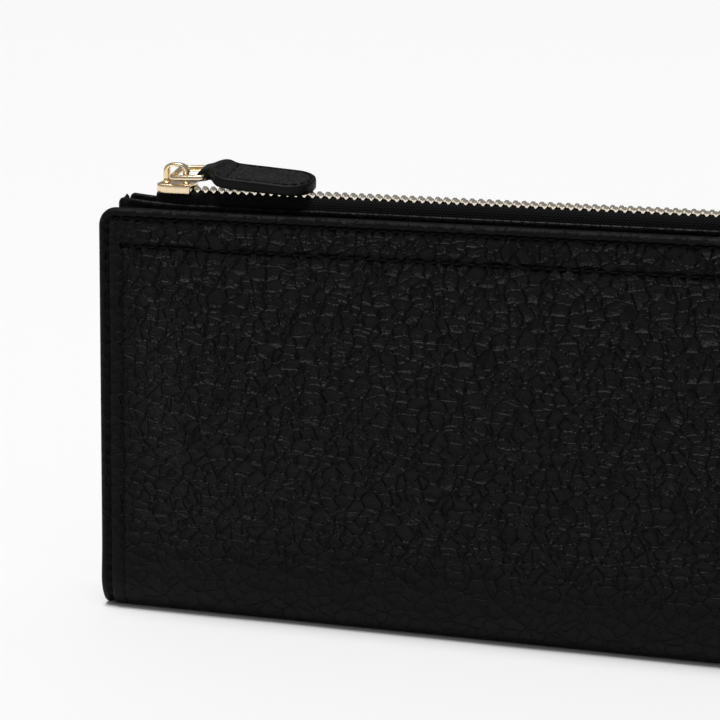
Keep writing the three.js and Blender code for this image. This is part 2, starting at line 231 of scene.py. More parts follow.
def fold_line(face):
    """The outside of a cover in Y and Z, from the middle of the foot to the top, by length along it."""
    turn = np.linspace(math.pi / 2, 0, 40)
    across = face - FOOT_HALF
    y = np.concatenate([[0.0], FOOT_HALF + across * np.cos(turn), [face]])
    z = np.concatenate([[0.0], FOLD_TOP * (1 - np.sin(turn)), [COVER_TOP]])
    length = np.concatenate([[0], np.cumsum(np.hypot(np.diff(y), np.diff(z)))])
    return length, y, z


def lay_cover(face, lean, side):
    """Returns where a point of a cover's leather is: u along, v up from the foot's middle, h proud."""
    length, y, z = fold_line(face)

    def lay(u, v, h):
        v = np.clip(v, 0, length[-1])
        out = np.interp(v, length, y)
        up = np.interp(v, length, z)
        ahead = np.minimum(v + 0.3, length[-1])
        behind = np.maximum(v - 0.3, 0)
        along_y = np.interp(ahead, length, y) - np.interp(behind, length, y)
        along_z = np.interp(ahead, length, z) - np.interp(behind, length, z)
        size = np.hypot(along_y, along_z)
        out = out + h * along_z / size
        up = up - h * along_y / size
        weight = np.clip((up - 1) / 10, 0, 1)
        angle = lean * weight * weight * (3 - 2 * weight)
        dy, dz = out - HINGE[0], up - HINGE[1]
        out = HINGE[0] + dy * np.cos(angle) - dz * np.sin(angle)
        up = HINGE[1] + dz * np.cos(angle) + dy * np.sin(angle)
        return np.stack([u, side * out, up], -1) * MM

    return lay, length[-1]


def round_corners(u, v, half, top, radius):
    """Moves a square grid's corner points so that the two upper corners are round."""
    a = np.clip((np.abs(u) - (half - radius)) / radius, 0, 1)
    b = np.clip((v - (top - radius)) / radius, 0, 1)
    new_a = a * np.sqrt(1 - b * b / 2)
    new_b = b * np.sqrt(1 - a * a / 2)
    return u + np.sign(u) * (new_a - a) * radius, v + (new_b - b) * radius


def edge_distance(u, v, half, top, radius):
    """Distance in from the outline: both sides and the top with round corners; the bottom is open."""
    a = half - np.abs(u)
    b = top - v
    corner = radius - np.hypot(np.maximum(radius - a, 0), np.maximum(radius - b, 0))
    return np.where((a < radius) & (b < radius), corner, np.minimum(a, b))


def grid_side(name, us, vs, lay_point):
    """One face of a piece: a grid with flat coordinates in millimetres, laid out by lay_point."""
    bpy.ops.mesh.primitive_grid_add(x_subdivisions=len(us) - 1, y_subdivisions=len(vs) - 1, size=2)
    side = bpy.context.object
    side.name = name
    mesh = side.data
    place = np.zeros(len(mesh.vertices) * 3)
    mesh.vertices.foreach_get("co", place)
    place = place.reshape(-1, 3)
    u = us[np.rint((place[:, 0] + 1) / 2 * (len(us) - 1)).astype(int)]
    v = vs[np.rint((place[:, 1] + 1) / 2 * (len(vs) - 1)).astype(int)]
    where, flat, grain = lay_point(u, v)
    mesh.vertices.foreach_set("co", where.ravel())
    corners = np.zeros(len(mesh.loops), int)
    mesh.loops.foreach_get("vertex_index", corners)
    mesh.uv_layers.active.name = "flat"
    mesh.uv_layers["flat"].data.foreach_set("uv", flat[corners].ravel())
    mesh.attributes.new("grain", "FLOAT", "POINT").data.foreach_set("value", grain)
    mesh.update()
    return side


def finish_piece(obj, *materials):
    """Merges what touches, closes what is open, turns the faces outward and shades them smooth."""
    bpy.ops.object.select_all(action="DESELECT")
    obj.select_set(True)
    bpy.context.view_layer.objects.active = obj
    bpy.ops.object.transform_apply(location=True, rotation=True, scale=True)
    bpy.ops.object.mode_set(mode="EDIT")
    bpy.ops.mesh.select_all(action="SELECT")
    bpy.ops.mesh.remove_doubles(threshold=0.004 * MM)
    bpy.ops.mesh.select_all(action="DESELECT")
    bpy.ops.mesh.select_mode(type="EDGE")
    bpy.ops.mesh.select_non_manifold(
        extend=False, use_multi_face=False, use_non_contiguous=False, use_verts=False
    )
    bpy.ops.mesh.edge_face_add()
    bpy.ops.mesh.select_all(action="SELECT")
    bpy.ops.mesh.normals_make_consistent(inside=False)
    bpy.ops.object.mode_set(mode="OBJECT")
    bpy.ops.object.shade_smooth()
    obj.data.materials.clear()
    for material in materials:
        obj.data.materials.append(material)
    obj.select_set(False)
    return obj


def join_pieces(parts):
    bpy.ops.object.select_all(action="DESELECT")
    for part in parts:
        part.select_set(True)
    bpy.context.view_layer.objects.active = parts[0]
    bpy.ops.object.join()
    return parts[0]


def two_faced(name, columns, rows, outer, inner, material):
    """A closed piece made of an outer and an inner face that meet all round."""
    parts = [grid_side(name, columns, rows, outer), grid_side(name + "_in", columns, rows, inner)]
    return finish_piece(join_pieces(parts), material)


def seam(distance, along, depth, width=0.55):
    """A sewn valley, a little deeper at each needle hole."""
    holes = 0.72 + 0.28 * np.cos(2 * math.pi * along / STITCH)
    return -depth * holes * np.exp(-((distance / width) ** 2))


def drift(u, v):
    """Slow unevenness of padded leather, within one millimetre either way."""
    return (
        0.5 * np.sin(0.071 * u + 1.3) * np.sin(0.093 * v + 0.4)
        + 0.3 * np.sin(0.161 * u - 0.117 * v + 2.1)
        + 0.2 * np.sin(0.043 * u + 0.221 * v + 0.7)
    )


def cover_relief(u, v, top):
    """How proud a cover's face is: a rolled edge, two seams and the soft panel inside them."""
    d = edge_distance(u, v, HALF_LENGTH, top, COVER_CORNER)
    side = HALF_LENGTH - np.abs(u)
    over = top - v
    edge_half = 0.8 + 0.75 * np.clip((v - 14) / 12, 0, 1)
    roll = np.clip(d / 1.45, 0, 1)
    height = -edge_half * (1 - np.sqrt(1 - (1 - roll) ** 2))
    along_edge = np.where(side < over, v, u)
    height += seam(d - EDGE_SEAM, along_edge, 1.0, 0.55)
    inner_side = np.where(over > INNER_SEAM_TOP - 0.5, side - INNER_SEAM_SIDE, 9.0)
    inner_top = np.where(side > INNER_SEAM_SIDE - 0.5, over - INNER_SEAM_TOP, 9.0)
    height += seam(inner_side, v, 0.5, 0.6)
    height += seam(inner_top, u, 0.7, 0.6)
    band = np.clip((d - EDGE_SEAM) / 2.2, 0, 1)
    height += -0.18 + 0.34 * np.sin(0.5 * math.pi * band)
    inside = np.minimum(side - INNER_SEAM_SIDE, over - INNER_SEAM_TOP)
    swell = np.clip(inside / 14, 0, 1)
    puff = np.where(inside > 0, PANEL_SWELL * np.sin(0.5 * math.pi * swell), 0)
    height += puff * np.clip((v - 16) / 14, 0, 1)
    fall = np.clip((over - INNER_SEAM_TOP) / CROWN_RUN, 0, 1)
    from_side = np.clip((side - INNER_SEAM_SIDE) / 16, 0, 1)
    height += PANEL_CROWN * np.sin(0.5 * math.pi * fall) * from_side * np.clip((v - 14) / 40, 0, 1)
    calm = np.clip(inside / 8, 0, 1)
    height += 0.28 * drift(u, v) * calm
    height = np.where(height > 0, height * np.clip((v - 8) / 8, 0, 1), height)
    return d, height


def cover_grain(u, v, top):
    side = HALF_LENGTH - np.abs(u)
    over = top - v
    near_side = np.clip((side - 4.5) / 9, 0, 1)
    near_edge = np.clip((over - 2.0) / 1.2, 0, 1)
    near_fold = np.clip((v - 20) / 12, 0, 1)
    return (0.16 + 0.84 * near_side) * (0.12 + 0.88 * near_edge) * (0.25 + 0.75 * near_fold)


def cover_shell(name, face, lean, side):
    """The cover's closed skin: the outside, and the inside that the lining is sewn to."""
    lay, top = lay_cover(face, lean, side)
    columns = even_steps(-HALF_LENGTH, (-HALF_LENGTH + 9, 0.32), (0, 0.65))
    columns = np.concatenate([columns, -columns[-2::-1]])
    rows = even_steps(0, (8, 1.0), (20, 0.6), (top - 14, 1.1), (top - 11, 0.6), (top, 0.26))

    def outside(u, v):
        u, v = round_corners(u, v, HALF_LENGTH, top, COVER_CORNER)
        d, height = cover_relief(u, v, top)
        return lay(u, v, height), np.stack([u, v], -1), cover_grain(u, v, top)

    def inside(u, v):
        u, v = round_corners(u, v, HALF_LENGTH, top, COVER_CORNER)
        d = edge_distance(u, v, HALF_LENGTH, top, COVER_CORNER)
        edge_half = 0.8 + 0.75 * np.clip((v - 14) / 12, 0, 1)
        roll = np.clip(d / 1.45, 0, 1)
        height = -edge_half * (1 + np.sqrt(1 - (1 - roll) ** 2))
        outer_edge = cover_relief(u, v, top)[1]
        height = np.where(d < 1e-6, outer_edge, height)
        return lay(u, v, height), np.stack([u, v + 300], -1), 0.12 + 0 * u

    return two_faced(name, columns, rows, outside, inside, cover_leather), lay, top


front_leather, front_lay, front_top = cover_shell("front_leather", COVER_FACE, LEAN, -1)
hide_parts("front_cover_leather", "spine_leather")


# ---------------------------------------------------------------------------------------------
# Stitching. Bonded black polyester thread in a 3 mm lockstitch, each stitch a short loop that dips
# into its needle holes; sewn through leather and lining together.
# ---------------------------------------------------------------------------------------------
def thread_finish():
    finish = Finish("thread", Roughness=0.6, Specular_IOR_Level=0.1)
    flat = finish.place((1.0, 1.0))
    twist = finish.node("ShaderNodeTexWave", {"bands_direction": "DIAGONAL"}, {"Vector": flat, "Scale": 1.4})
    finish.feed(Base_Color=finish.colours(twist, (0.0008, 0.0008, 0.0008), (0.002, 0.002, 0.002)))
    finish.relief(twist, 0.05 * MM)
    return finish.material


thread = thread_finish()


def one_stitch(name):
    """A stitch along X, 0.8 of the pitch long: a capsule, flattened, with its ends pulled down."""
    bpy.ops.mesh.primitive_cylinder_add(vertices=8, radius=0.23, depth=0.8 * STITCH, end_fill_type="NOTHING")
    stitch = bpy.context.object
    stitch.name = name
    bpy.ops.object.mode_set(mode="EDIT")
    bpy.ops.mesh.select_all(action="SELECT")
    bpy.ops.transform.rotate(value=math.pi / 2, orient_axis="Y", center_override=(0, 0, 0))
    for side in (-1, 1):
        for plane in (0.45, 0.8):
            bpy.ops.mesh.select_all(action="SELECT")
            x = side * plane * 0.4 * STITCH
            bpy.ops.mesh.bisect(plane_co=(x, 0, 0), plane_no=(1, 0, 0))
    bpy.ops.mesh.select_all(action="DESELECT")
    bpy.ops.mesh.select_non_manifold()
    bpy.ops.mesh.edge_face_add()
    bpy.ops.object.mode_set(mode="OBJECT")
    for vertex in stitch.data.vertices:
        reach = min(1.0, abs(vertex.co.x) / (0.4 * STITCH))
        narrow = 1 - 0.45 * reach**3
        vertex.co.y *= narrow
        vertex.co.z = vertex.co.z * narrow - 0.42 * reach**3
    return stitch


def sew(name, points, outs):
    """A row of stitches from point to point in millimetres; outs are the directions away from the leather."""
    stitch = one_stitch(name)
    base = np.array([v.co for v in stitch.data.vertices])
    faces = [list(p.vertices) for p in stitch.data.polygons]
    centres = (points[1:] + points[:-1]) / 2
    ways = points[1:] - points[:-1]
    ways /= np.linalg.norm(ways, axis=1)[:, None]
    out = (outs[1:] + outs[:-1]) / 2
    out -= (out * ways).sum(1)[:, None] * ways
    out /= np.linalg.norm(out, axis=1)[:, None]
    across = np.cross(out, ways)
    copies, links = [], []
    for k in range(len(centres)):
        skew = base[:, 1] + 0.07 * base[:, 0]
        spot = centres[k] + base[:, :1] * ways[k] + skew[:, None] * across[k] + base[:, 2:] * out[k]
        links += [[i + k * len(base) for i in face] for face in faces]
        copies.append(spot)
    mesh = bpy.data.meshes.new(name)
    mesh.from_pydata(np.concatenate(copies) * MM, [], links)
    flat = mesh.uv_layers.new(name="flat")
    corner = [0] * len(mesh.loops)
    mesh.loops.foreach_get("vertex_index", corner)
    spots = np.tile(base[:, :2] + base[:, 2:], (len(centres), 1))
    flat.data.foreach_set("uv", spots[np.array(corner)].ravel())
    stitch.data = mesh
    return finish_piece(stitch, thread)


def sew_on(name, lay, us, vs, height):
    """Stitches on a laid surface along the line (us, vs), one between each pair of neighbouring points."""
    h = height(us, vs)
    where = lay(us, vs, h) / MM
    above = lay(us, vs, h + 1) / MM
    return sew(name, where, above - where)


def along(points, pitch=STITCH):
    """Evenly spaced points along a line of corners."""
    points = np.array(points, float)
    length = np.concatenate([[0], np.cumsum(np.hypot(*np.diff(points, axis=0).T))])
    count = max(1, round(length[-1] / pitch))
    at = np.linspace(0, length[-1], count + 1)
    return np.interp(at, length, points[:, 0]), np.interp(at, length, points[:, 1])


def corner_arc(x, y, radius, start, end, count=8):
    angles = np.radians(np.linspace(start, end, count))
    return list(zip(x + radius * np.cos(angles), y + radius * np.sin(angles)))


def cover_seams(name, lay, top):
    """Both seams of a cover: round the edge, and the inner one along the top and down both sides."""
    x = HALF_LENGTH - EDGE_SEAM
    r = COVER_CORNER - EDGE_SEAM
    z = top - EDGE_SEAM
    left = corner_arc(-x + r, z - r, r, 180, 90)
    right = corner_arc(x - r, z - r, r, 90, 0)
    edge_line = along([(-x, 6), *left, *right, (x, 6)])
    xi = HALF_LENGTH - INNER_SEAM_SIDE
    zi = top - INNER_SEAM_TOP

    def surface(u, v):
        return cover_relief(u, v, top)[1] + 0.2

    parts = [
        sew_on(name, lay, *edge_line, surface),
        sew_on(name + "_top", lay, *along([(-xi, zi), (xi, zi)]), surface),
        sew_on(name + "_left", lay, *along([(-xi, 6), (-xi, zi)]), surface),
        sew_on(name + "_right", lay, *along([(xi, 6), (xi, zi)]), surface),
    ]
    return join_pieces(parts)


front_seams = cover_seams("front_seams", front_lay, front_top)
for piece in (front_leather, front_seams):
    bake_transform(piece)


# ---------------------------------------------------------------------------------------------
# Back cover, cut and sewn like the front one, upright behind the zip pocket.
# ---------------------------------------------------------------------------------------------
BACK_FACE = 10.0
back_leather, back_lay, back_top = cover_shell("back_leather", BACK_FACE, 0.0, 1)
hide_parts("back_cover_leather")
back_seams = cover_seams("back_seams", back_lay, back_top)
for piece in (back_leather, back_seams):
    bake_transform(piece)


# ---------------------------------------------------------------------------------------------
# Lining leather: the spine lining, front lining, card slots, bill pocket and pocket wall. Thin
# smooth goatskin, skived and turned at the top edge of each pocket, with a creased line below it.
# ---------------------------------------------------------------------------------------------
def smooth_leather(name, low, high, depth=0.05, rough=0.5):
    finish = Finish(name, Specular_IOR_Level=0.35)
    flat = finish.place((1.0, 1.0))
    edge = {"feature": "DISTANCE_TO_EDGE"}
    pores = finish.node("ShaderNodeTexVoronoi", edge, {"Vector": flat, "Scale": 1.3, "Randomness": 1.0})
    cloud = finish.node("ShaderNodeTexNoise", {}, {"Vector": flat, "Scale": 0.35, "Detail": 4.0})
    grain = finish.smooth(pores, 0.0, 0.25)
    finish.relief(grain + cloud * 0.8, depth * MM)
    finish.feed(Base_Color=finish.colours(cloud * 0.6 + grain * 0.4, low, high))
    finish.feed(Roughness=rough - grain * 0.06 + cloud * 0.08)
    return finish.material


lining_leather = smooth_leather("lining_leather", (0.005, 0.005, 0.0055), (0.013, 0.0125, 0.013))


def flat_panel(name, box, material, radius=0.0, lean=0.0, puff=0.1, crease=None, seams=(), step=1.6):
    """A flat leather or cloth panel, soft at its edges, in the place of the CAD box at rest."""
    x0, y0, z0, x1, y1, z1 = box
    half, top = (x1 - x0) / 2, z1 - z0
    middle, half_thick = (y0 + y1) / 2, (y1 - y0) / 2
    columns = even_steps(-half, (-half + 3, 0.5), (0, step))
    columns = np.concatenate([columns, -columns[-2::-1]])
    rows = even_steps(0, (2, 0.5), (top - 5, step), (top, 0.3))

    def lay(u, v, h):
        x = (x0 + x1) / 2 + u
        y, z = middle - h, z0 + v
        dy, dz = y + HINGE[0], z - HINGE[1]
        turned_y = -HINGE[0] + dy * math.cos(lean) + dz * math.sin(lean)
        turned_z = HINGE[1] + dz * math.cos(lean) - dy * math.sin(lean)
        return np.stack([x, turned_y, turned_z], -1) * MM

    def height(u, v):
        d = np.minimum(edge_distance(u, v, half, top, max(radius, 0.01)), v)
        roll = np.clip(d / half_thick, 0, 1)
        body = half_thick * np.sqrt(1 - (1 - roll) ** 2)
        soft = puff * np.clip(d / 12, 0, 1) * (0.6 + 0.4 * drift(u, v))
        if crease:
            soft = soft + seam(top - v - crease, u, 0.12, 0.35)
        for edge in seams:
            gap = half - np.abs(u) if edge == "sides" else v
            soft = soft + seam(gap - 2, v if edge == "sides" else u, 0.16, 0.45)
        return body, soft

    def face(sign):
        def laid(u, v):
            if radius:
                u, v = round_corners(u, v, half, top, radius)
            body, soft = height(u, v)
            shift = soft if sign > 0 else -0.6 * np.clip(soft, -1, 0)
            shift = np.where(body < 1e-6, 0, shift)
            return lay(u, v, sign * body + shift), np.stack([u, v], -1), 0 * u + 1

        return laid

    return two_faced(name, columns, rows, face(1), face(-1), material), lay, height


def cad_box_mm(node, lean=0.0):
    """A node's box in millimetres, with a leaning panel stood upright about the front hinge first."""
    points = np.array([v.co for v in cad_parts[node].data.vertices]) / MM
    dy, dz = points[:, 1] + HINGE[0], points[:, 2] - HINGE[1]
    points[:, 1] = -HINGE[0] + dy * math.cos(lean) - dz * math.sin(lean)
    points[:, 2] = HINGE[1] + dz * math.cos(lean) + dy * math.sin(lean)
    return (*points.min(0), *points.max(0))


def panel_for(node, body, material, slot_name, lean=0.0, on=None, **shape):
    name = node + "_skin"
    box = cad_box_mm(node, lean)
    made, lay, height = flat_panel(name, box, material, lean=lean, **shape)
    if on:
        flat = ((box[3] - box[0]) * MM, (box[5] - box[2]) * MM)
    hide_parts(node)
    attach(made, body)
    return made, lay, height


def level_panel(node, body, material):
    """A thin panel lying flat in a node's place, with soft edges."""
    low, high = (np.array(c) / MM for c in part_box(node))
    thick = (high[2] - low[2]) / 2 - 0.02
    columns = even_steps(low[0], (high[0], 1.2))
    rows = even_steps(low[1], (high[1], 0.4))

    def face(sign):
        def laid(x, y):
            border = np.minimum(np.minimum(x - low[0], high[0] - x), np.minimum(y - low[1], high[1] - y))
            half = thick * np.sqrt(np.clip(border / thick, 0, 1))
            z = (low[2] + high[2]) / 2 + sign * half
            return np.stack([x, y, z], -1) * MM, np.stack([x, y], -1), 0 * x

        return laid

    made = two_faced(node + "_skin", columns, rows, face(1), face(-1), material)
    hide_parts(node)
    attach(made, body)
    return made


spine_skin = level_panel("spine_lining", "spine", lining_leather)
panel_for("front_lining", "front", lining_leather, "lining_leather", lean=LEAN, on="front_board", radius=2.5)
for column in ("left", "right"):
    for tier in (1, 2, 3):
        node = f"card_slot_{column}_{tier}"
        edge = {"radius": 3.0, "crease": 2.2, "seams": ("sides",)}
        panel_for(node, "front", lining_leather, "lining_leather", lean=LEAN, on="front_lining", **edge)
panel_for("bill_pocket", "back", lining_leather, "lining_leather", on="pocket_front_wall", **edge)
panel_for("pocket_front_wall", "back", lining_leather, "lining_leather", on="pocket_front_lining")


# ---------------------------------------------------------------------------------------------
# Zip pocket: walls of black cotton twill, a gusset of folded leather at each end, and the leather
# strip along each side of the mouth, rolled at its upper edge and sewn over the zip tape.
# ---------------------------------------------------------------------------------------------
def twill(name, low, high, pitch=0.55, depth=0.12):
    """Herringbone twill: diagonal ribs that change direction every few millimetres."""
    finish = Finish(name, Roughness=0.8, Specular_IOR_Level=0.12)
    flat = finish.place((1.0, 1.0))
    split = finish.node("ShaderNodeSeparateXYZ", {}, {"Vector": flat}, 0)
    rise = Value(finish, split.socket.node.outputs[1])
    zigzag = finish.maths("PINGPONG", rise, 1.3)
    rib = finish.maths("SINE", (split + zigzag) * (2 * math.pi / pitch)) * 0.5 + 0.5
    yarn = finish.maths("SINE", rise * (2 * math.pi / (pitch * 0.7))) * 0.5 + 0.5
    fuzz = finish.node("ShaderNodeTexNoise", {}, {"Vector": flat, "Scale": 6.0, "Detail": 2.0})
    weave = rib * 0.7 + yarn * 0.3
    finish.relief(weave + fuzz * 0.25, depth * MM)
    finish.feed(Base_Color=finish.colours(weave * 0.8 + fuzz * 0.2, low, high))
    return finish.material


pocket_cloth = twill("pocket_cloth", (0.004, 0.004, 0.005), (0.016, 0.016, 0.018))
tape_cloth = twill("tape_cloth", (0.0006, 0.0006, 0.0006), (0.010, 0.010, 0.011), pitch=0.8, depth=0.3)
strip_leather = pebbled_leather("strip_leather", (0.001, 0.001, 0.001), (0.0075, 0.0074, 0.0076), 2.2, 0.16)

for node, behind in (("pocket_front_lining", "pocket_front_wall"), ("pocket_back_lining", "back_foam")):
    panel_for(node, "back", pocket_cloth, "cloth", on=behind, puff=0.0)


END_RISE = 1.15


def strip_for(node, on):
    """A strip sewn over a tape, its upper edge lifted a little toward the left end."""
    soft = {"radius": 1.6, "puff": 0.35, "crease": 1.6, "step": 0.9}
    strip = panel_for(node, "back", strip_leather, "leather", on=on, **soft)[0]
    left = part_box(node)[0].x / MM
    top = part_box(node)[1].z / MM
    for vertex in strip.data.vertices:
        near_end = np.clip((left + 16 - vertex.co.x / MM) / 16, 0, 1)
        near_top = np.clip((vertex.co.z / MM - top + 9) / 9, 0, 1)
        vertex.co.z += END_RISE * near_end**1.5 * near_top**1.5 * MM


strip_for("zip_strip_front", "zip_tape_front")
strip_for("zip_strip_back", "zip_tape_back")


# ---------------------------------------------------------------------------------------------
# Metals: brass plated in pale gold and polished, with a fine brushed haze of noise all over.
# ---------------------------------------------------------------------------------------------
def gold_finish(name, colour, rough):
    finish = Finish(name, Metallic=1.0)
    spot = finish.node("ShaderNodeTexCoord", {}, {}, 3)
    haze = finish.node("ShaderNodeTexNoise", {}, {"Vector": spot, "Scale": 900.0, "Detail": 3.0})
    tarnish = tuple(0.8 * c for c in colour)
    finish.feed(Base_Color=finish.colours(haze, colour, tarnish))
    finish.feed(Roughness=rough + haze * 0.12)
    finish.relief(haze, 0.01 * MM)
    return finish.material


gold = gold_finish("pale_gold", (1.0, 0.80, 0.54), 0.14)
tooth_brass = gold_finish("tooth_brass", (1.0, 0.90, 0.76), 0.12)
POCKET_Y = 3.2


def run_along(name, centres, across, above, outline, closed, *materials):
    """A solid run along a line, its section (across, above) at point k given by outline(k)."""
    rings = []
    for k, centre in enumerate(centres):
        shape = outline(k)
        rings.append(centre + shape[:, :1] * across[k] + shape[:, 1:] * above[k])
    sides, count = len(rings[0]), len(rings)
    faces = []
    for k in range(count if closed else count - 1):
        near, far = k * sides, (k + 1) % count * sides
        for i in range(sides):
            j = (i + 1) % sides
            faces.append((near + i, near + j, far + j, far + i))
    if not closed:
        faces.append(tuple(range(sides)))
        faces.append(tuple(range((count - 1) * sides, count * sides)))
    mesh = bpy.data.meshes.new(name)
    mesh.from_pydata(np.concatenate(rings) * MM, [], faces)
    made = bpy.data.objects.new(name, mesh)
    bpy.context.collection.objects.link(made)
    return finish_piece(made, *materials)


def soft_square(half_across, half_above, power=3.0, count=16):
    """An outline between an ellipse and a rectangle."""
    turn = np.linspace(0, 2 * math.pi, count, endpoint=False)
    x, y = np.cos(turn), np.sin(turn)
    shape = [np.sign(x) * np.abs(x) ** (2 / power) * half_across]
    shape.append(np.sign(y) * np.abs(y) ** (2 / power) * half_above)
    return np.stack(shape, -1)


def ease_edges(obj, width, segments=2):
    """Rounds every sharp edge and keeps the flats flat."""
    bpy.context.view_layer.objects.active = obj
    bevel = obj.modifiers.new("ease", "BEVEL")
    bevel.width = width * MM
    bevel.segments = segments
    bevel.limit_method = "ANGLE"
    bevel.angle_limit = math.radians(35)
    obj.select_set(True)
    bpy.ops.object.modifier_apply(modifier="ease")
    bpy.ops.object.shade_smooth_by_angle(angle=math.radians(40))
    obj.select_set(False)
    return obj


# ---------------------------------------------------------------------------------------------
# Zip tapes. Black polyester herringbone, sewn behind each leather strip and turned in over its top
# edge to the teeth. Each tape's row of teeth is attached to its own side of the mouth; the tapes stay in
# place.
# ---------------------------------------------------------------------------------------------
TAPE_PATH = np.array(
    [(2.75, 92.6), (2.75, 100.4), (2.62, 102.0), (2.2, 102.9), (1.5, 103.35), (1.15, 103.45)]
)
TAPE_LEFT, TAPE_RIGHT = -85.1, 84.9


def zip_tape(side, word):
    steps = np.hypot(*np.diff(TAPE_PATH, axis=0).T)
    length = np.concatenate([[0], np.cumsum(steps)])
    columns = even_steps(TAPE_LEFT, (TAPE_RIGHT, 0.8))
    rows = even_steps(0, (length[-1], 0.3))

    def face(sign):
        def laid(u, v):
            out = np.interp(v, length, TAPE_PATH[:, 0])
            up = np.interp(v, length, TAPE_PATH[:, 1])
            ahead = [np.interp(v + 0.3, length, TAPE_PATH[:, k]) for k in (0, 1)]
            behind = [np.interp(v - 0.3, length, TAPE_PATH[:, k]) for k in (0, 1)]
            slope_out, slope_up = ahead[0] - behind[0], ahead[1] - behind[1]
            size = np.hypot(slope_out, slope_up)
            inside = np.minimum(np.minimum(v, length[-1] - v), np.minimum(u - TAPE_LEFT, TAPE_RIGHT - u))
            half = 0.22 * np.sqrt(np.clip(inside / 0.22, 0, 1))
            out = out + sign * half * slope_up / size
            up = up - sign * half * slope_out / size
            return np.stack([u, POCKET_Y + side * out, up], -1) * MM, np.stack([u, v], -1), 0 * u

        return laid

    name = f"zip_tape_{word}_cloth"
    tape = two_faced(name, columns, rows, face(1), face(-1), tape_cloth)
    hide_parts(f"zip_tape_{word}")
    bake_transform(tape)


# ---------------------------------------------------------------------------------------------
# Zip teeth and top stops. Stamped brass teeth clamped over the tapes' edges, broad and rounded at
# the top and narrow below; their heads reach past the middle and lock between those opposite.
# ---------------------------------------------------------------------------------------------
CHAIN_START, TOOTH_PITCH, TOOTH_COUNT = -81.5, 2.05, 79
TOOTH_BOTTOM, TOOTH_TOP = 102.75, 104.7


def zip_teeth(side, word):
    turn = np.linspace(0, 2 * math.pi, 8, endpoint=False) + math.pi / 8
    sections = [(-1.80, 0.45), (-1.66, 0.88), (-1.15, 1.0), (-0.75, 0.62), (0.1, 0.6), (0.40, 0.42)]
    base = []
    for out, size in sections:
        x, z = np.cos(turn), np.sin(turn)
        narrow = np.where(z < 0, 0.55, 1.0)
        base.append(np.stack([0.82 * size * x * narrow, 0 * x + out, 0.97 * (0.35 + 0.65 * size) * z], -1))
    rings, ring = len(base), len(turn)
    base = np.concatenate(base)
    faces = [tuple(range(ring)), tuple(range((rings - 1) * ring, rings * ring))]
    for k in range(rings - 1):
        for i in range(ring):
            j = (i + 1) % ring
            faces.append((k * ring + i, k * ring + j, (k + 1) * ring + j, (k + 1) * ring + i))
    first = CHAIN_START + (0.375 if side < 0 else 0.375 + TOOTH_PITCH / 2)
    middle = (TOOTH_BOTTOM + TOOTH_TOP) / 2
    spots, links = [], []
    for k in range(TOOTH_COUNT):
        spot = base * (1, -side, 1) + (first + k * TOOTH_PITCH, POCKET_Y, middle)
        spots.append(spot)
        links += [tuple(i + k * len(base) for i in face) for face in faces]
    mesh = bpy.data.meshes.new(f"zip_teeth_{word}_brass")
    mesh.from_pydata(np.concatenate(spots) * MM, [], links)
    teeth = bpy.data.objects.new(f"zip_teeth_{word}_brass", mesh)
    bpy.context.collection.objects.link(teeth)
    finish_piece(teeth, tooth_brass)
    bpy.context.view_layer.objects.active = teeth
    teeth.select_set(True)
    bpy.ops.object.shade_smooth_by_angle(angle=math.radians(50))
    teeth.select_set(False)
    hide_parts(f"zip_teeth_{word}")
    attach(teeth, f"mouth_{word}")


def clamp_for(node, body):
    """A stop: a strip of brass pinched flat over the tape's edge, with rounded shoulders."""
    low, high = (np.array(c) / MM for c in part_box(node))
    middle, half = (low + high) / 2, (high - low) / 2
    ends = np.array([-1, -0.8, -0.3, 0.3, 0.8, 1])
    centres = np.array([(middle[0] + e * half[0], middle[1], middle[2]) for e in ends])
    across = np.tile((0.0, 1.0, 0.0), (6, 1))
    above = np.tile((0.0, 0.0, 1.0), (6, 1))

    def outline(k):
        size = (0.72, 0.96, 1, 1, 0.96, 0.72)[k]
        return soft_square(half[1] * size, half[2] * size, 3.5)

    stop = run_along(node + "_brass", centres, across, above, outline, False, gold)
    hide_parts(node)
    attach(stop, body)


for side, word in ((-1, "front"), (1, "back")):
    zip_tape(side, word)
    zip_teeth(side, word)
    clamp_for(f"top_stop_{word}", f"mouth_{word}")
clamp_for("bottom_stop", "back")


# ---------------------------------------------------------------------------------------------
# Slider. Die-cast body: a shield-shaped plate with its rims turned down over the teeth, a narrower
# plate below joined by a post, and an arch on top for the ring. Plated and polished.
# ---------------------------------------------------------------------------------------------
SLIDER_LEFT = -84.6
PLATE_TOP = 105.35
CROWN_X, EYE_Z = -80.7, 107.6


